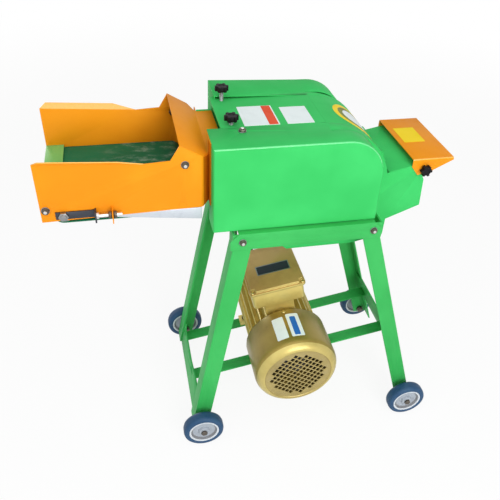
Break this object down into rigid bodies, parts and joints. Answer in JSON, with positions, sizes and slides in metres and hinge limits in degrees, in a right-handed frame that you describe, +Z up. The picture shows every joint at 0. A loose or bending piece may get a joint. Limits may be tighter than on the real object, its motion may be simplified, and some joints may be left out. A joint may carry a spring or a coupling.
{
  "type": "chaff cutter",
  "caption": "Belt-feed chaff cutter on a wheeled angle-iron stand: feed tray with conveyor, toothed feed rollers, knife rotor, tilting discharge flap and a belt drive from a motor below.",
  "frame": {"origin": "on the floor, under the middle of the machine's outline", "axes": "+X from the feed tray to the discharge, +Y from the gear side to the belt side, +Z up"},
  "size_m": [0.89, 0.422, 0.8192],
  "materials": {
    "green_paint": "gloss",
    "orange_paint": "gloss",
    "pale_green_paint": "satin",
    "zinc": "zinc plated",
    "steel": "machined",
    "dark_iron": "satin",
    "black_plastic": "matte",
    "belt_green": "matte",
    "black_rubber": "matte",
    "gold_paint": "gold paint",
    "tyre": "matte",
    "hub": "satin"
  },
  "bodies": {
    "machine": {"front_rail": "green_paint", "rear_rail": "green_paint", "left_cross_rail": "green_paint", "front_left_leg": "green_paint", "front_right_leg": "green_paint", "rear_left_leg": "green_paint", "rear_right_leg": "green_paint", "left_end_plate": "green_paint", "right_end_plate": "green_paint", "motor_rails": "green_paint", "near_side_plate": "green_paint", "far_side_plate": "green_paint", "drum_pan": "green_paint", "chute_roof": "green_paint", "cover_bar": "green_paint", "gear_cover": "green_paint", "belt_cover": "green_paint", "near_tray_wall": "orange_paint", "far_tray_wall": "orange_paint", "hood": "orange_paint", "throat_floor": "orange_paint", "tail_plate": "pale_green_paint", "axle_bolts": "zinc", "hex_bolts": "zinc", "belt_pan": "zinc", "shear_bar": "steel", "feed_chain": "steel", "shaft_bearings": "dark_iron", "conveyor_belt": "belt_green", "v_belt": "black_rubber", "motor_body": "gold_paint", "fan_cover": "gold_paint", "terminal_lid": "gold_paint"},
    "rotor": {"rotor": "steel", "knives": "steel", "rotor_pulley": "dark_iron"},
    "motor_rotor": {"motor_shaft": "dark_iron", "motor_pulley": "dark_iron"},
    "first_idler": {"first_idler": "steel"},
    "second_idler": {"second_idler": "steel"},
    "lower_roller": {"lower_roller": "steel"},
    "float": {"float_blocks": "dark_iron"},
    "upper_roller": {"upper_roller": "steel"},
    "drive_roller": {"drive_roller": "steel"},
    "takeup": {"takeup_yoke": "dark_iron"},
    "tail_roller": {"tail_roller": "steel"},
    "top_cover": {"top_cover": "green_paint"},
    "cover_knob_near": {"cover_knob_near": "black_plastic"},
    "cover_knob_far": {"cover_knob_far": "black_plastic"},
    "deflector_flap": {"deflector_flap": "orange_paint"},
    "flap_knob_near": {"flap_knob_near": "black_plastic"},
    "flap_knob_far": {"flap_knob_far": "black_plastic"},
    "front_left_wheel": {"front_left_hub": "hub", "front_left_tyre": "tyre"},
    "front_right_wheel": {"front_right_hub": "hub", "front_right_tyre": "tyre"},
    "rear_left_wheel": {"rear_left_hub": "hub", "rear_left_tyre": "tyre"},
    "rear_right_wheel": {"rear_right_hub": "hub", "rear_right_tyre": "tyre"}
  },
  "joints": [
    {"name": "rotor_spin", "type": "hinge", "parent": "machine", "child": "rotor", "pos_m": [0.133, 0, 0.637], "axis": [0, 1, 0], "continuous": true},
    {"name": "motor_spin", "type": "hinge", "parent": "machine", "child": "motor_rotor", "pos_m": [0.079, 0, 0.218], "axis": [0, 1, 0], "continuous": true},
    {"name": "first_idler_spin", "type": "hinge", "parent": "machine", "child": "first_idler", "pos_m": [0.07316, -0.08, 0.67135], "axis": [0, 1, 0], "continuous": true},
    {"name": "second_idler_spin", "type": "hinge", "parent": "machine", "child": "second_idler", "pos_m": [0.02318, -0.07, 0.68152], "axis": [0, 1, 0], "continuous": true},
    {"name": "lower_roller_spin", "type": "hinge", "parent": "machine", "child": "lower_roller", "pos_m": [-0.037, 0, 0.642], "axis": [0, 1, 0], "continuous": true},
    {"name": "upper_roller_float", "type": "slide", "parent": "machine", "child": "float", "axis": [0, 0, 1], "range_m": [0, 0.014]},
    {"name": "upper_roller_spin", "type": "hinge", "parent": "float", "child": "upper_roller", "pos_m": [-0.037, 0, 0.708], "axis": [0, 1, 0], "continuous": true},
    {"name": "drive_roller_spin", "type": "hinge", "parent": "machine", "child": "drive_roller", "pos_m": [-0.172, 0, 0.651], "axis": [0, 1, 0], "continuous": true},
    {"name": "belt_takeup", "type": "slide", "parent": "machine", "child": "takeup", "axis": [1, 0, 0], "range_m": [0, 0.015]},
    {"name": "tail_roller_spin", "type": "hinge", "parent": "takeup", "child": "tail_roller", "pos_m": [-0.403, 0, 0.651], "axis": [0, 1, 0], "continuous": true},
    {"name": "top_cover_hinge", "type": "hinge", "parent": "machine", "child": "top_cover", "pos_m": [0.27277, 0.04, 0.69923], "axis": [0, 1, 0], "range_deg": [0, 95]},
    {"name": "cover_knob_near_turn", "type": "hinge", "parent": "top_cover", "child": "cover_knob_near", "pos_m": [-0.062, -0.012, 0.79], "axis": [0, 0, 1], "continuous": true},
    {"name": "cover_knob_far_turn", "type": "hinge", "parent": "top_cover", "child": "cover_knob_far", "pos_m": [-0.062, 0.104, 0.79], "axis": [0, 0, 1], "continuous": true},
    {"name": "flap_tilt", "type": "hinge", "parent": "machine", "child": "deflector_flap", "pos_m": [0.35899, 0.034, 0.68105], "axis": [0, 1, 0], "range_deg": [-15, 35]},
    {"name": "flap_knob_near_turn", "type": "hinge", "parent": "machine", "child": "flap_knob_near", "pos_m": [0.35899, -0.07, 0.68105], "axis": [0, 1, 0], "continuous": true},
    {"name": "flap_knob_far_turn", "type": "hinge", "parent": "machine", "child": "flap_knob_far", "pos_m": [0.35899, 0.14, 0.68105], "axis": [0, 1, 0], "continuous": true},
    {"name": "front_left_wheel_spin", "type": "hinge", "parent": "machine", "child": "front_left_wheel", "pos_m": [-0.149, -0.192, 0.05], "axis": [0, 1, 0], "continuous": true},
    {"name": "front_right_wheel_spin", "type": "hinge", "parent": "machine", "child": "front_right_wheel", "pos_m": [0.395, -0.192, 0.05], "axis": [0, 1, 0], "continuous": true},
    {"name": "rear_left_wheel_spin", "type": "hinge", "parent": "machine", "child": "rear_left_wheel", "pos_m": [-0.149, 0.192, 0.05], "axis": [0, 1, 0], "continuous": true},
    {"name": "rear_right_wheel_spin", "type": "hinge", "parent": "machine", "child": "rear_right_wheel", "pos_m": [0.395, 0.192, 0.05], "axis": [0, 1, 0], "continuous": true}
  ],
  "couplings": [
    {"joint": "motor_spin", "follows": "rotor_spin", "ratio": 2},
    {"joint": "first_idler_spin", "follows": "rotor_spin", "ratio": -0.35294},
    {"joint": "second_idler_spin", "follows": "rotor_spin", "ratio": 0.19251},
    {"joint": "lower_roller_spin", "follows": "rotor_spin", "ratio": -0.1629},
    {"joint": "upper_roller_spin", "follows": "rotor_spin", "ratio": 0.1629},
    {"joint": "drive_roller_spin", "follows": "rotor_spin", "ratio": -0.1629},
    {"joint": "tail_roller_spin", "follows": "rotor_spin", "ratio": -0.1629}
  ]
}
